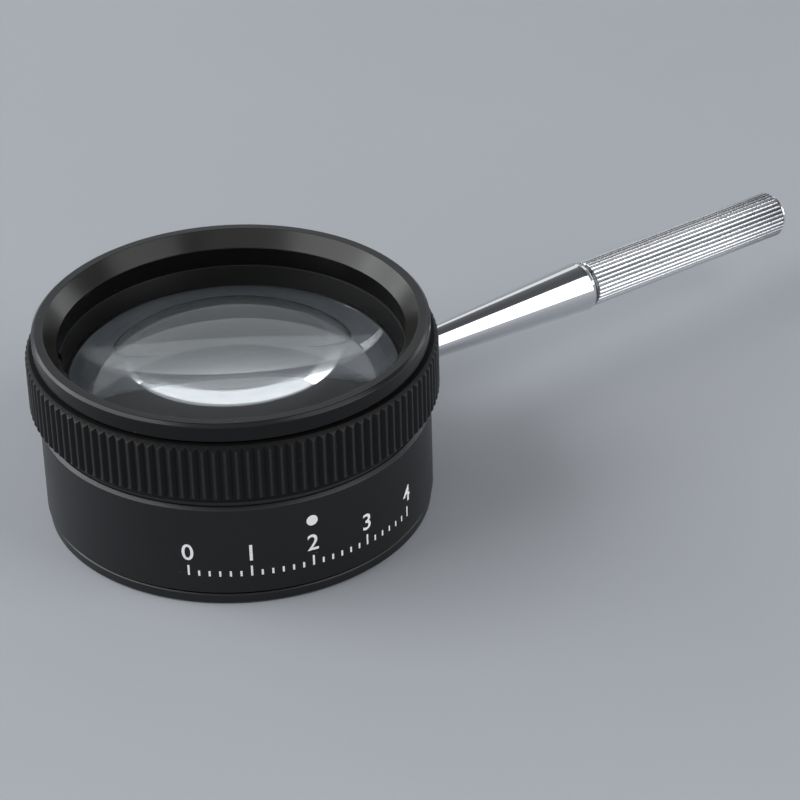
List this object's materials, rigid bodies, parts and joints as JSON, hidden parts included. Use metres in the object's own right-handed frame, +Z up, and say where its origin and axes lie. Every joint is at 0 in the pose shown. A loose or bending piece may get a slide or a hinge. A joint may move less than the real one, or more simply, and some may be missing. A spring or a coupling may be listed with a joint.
{
  "type": "focusing stand loupe",
  "caption": "Short black tube that stands on a print, with large lenses, a knurled focusing ring and a chromed side handle that unscrews.",
  "frame": {"origin": "centre of the base opening, in the plane of the foot, on the optical axis", "axes": "+Z up along the optical axis towards the eye, +X along the handle away from the barrel, +Y to the side of the guide screw"},
  "size_m": [0.1341, 0.06, 0.0303],
  "materials": {
    "barrel_black": "satin black anodised",
    "ring_black": "satin black anodised, knurled",
    "cap_black": "satin black anodised, turned",
    "inner_black": "matt black anodised",
    "spacer_aluminium": "turned, not dyed",
    "optical_glass": "polished crown glass",
    "chrome_rod": "polished chrome plate",
    "chrome_grip": "knurled chrome plate",
    "thread_brass": "turned brass",
    "screw_steel": "turned steel",
    "bearing_black": "black low-friction plastic",
    "gasket_rubber": "thin black rubber"
  },
  "bodies": {
    "stand": {"stand_barrel": "barrel_black", "foot_ring": "barrel_black", "guide_screw": "screw_steel", "bearing_washer": "bearing_black", "snap_ring": "screw_steel", "handle_socket": "thread_brass"},
    "focus_ring": {"focus_ring": "ring_black", "helicoid_nut": "thread_brass"},
    "lens_carriage": {"lens_cell": "inner_black", "eye_cap": "cap_black", "retaining_ring": "inner_black", "upper_lens": "optical_glass", "spacer_tube": "spacer_aluminium", "lower_lens": "optical_glass", "lens_gasket": "gasket_rubber"},
    "handle_washer": {"handle_washer": "screw_steel"},
    "handle": {"handle_stud": "screw_steel", "handle_rod": "chrome_rod", "handle_grip": "chrome_grip", "grip_plug": "chrome_grip"}
  },
  "joints": [
    {"name": "focus_turn", "type": "hinge", "parent": "stand", "child": "focus_ring", "pos_m": [0, 0, 0.0225], "axis": [0, 0, -1], "range_deg": [0, 300]},
    {"name": "focus_rise", "type": "slide", "parent": "stand", "child": "lens_carriage", "axis": [0, 0, 1], "range_m": [0, 0.004]},
    {"name": "handle_out", "type": "slide", "parent": "stand", "child": "handle_washer", "axis": [1, 0, 0], "range_m": [0, 0.002]},
    {"name": "handle_unscrew", "type": "hinge", "parent": "handle_washer", "child": "handle", "pos_m": [0.0289, 0, 0.0134], "axis": [1, 0, 0], "range_deg": [0, 1440]}
  ],
  "couplings": [
    {"joint": "focus_turn", "follows": "focus_rise", "rad_per_m": 1309},
    {"joint": "handle_unscrew", "follows": "handle_out", "rad_per_m": 12566}
  ]
}
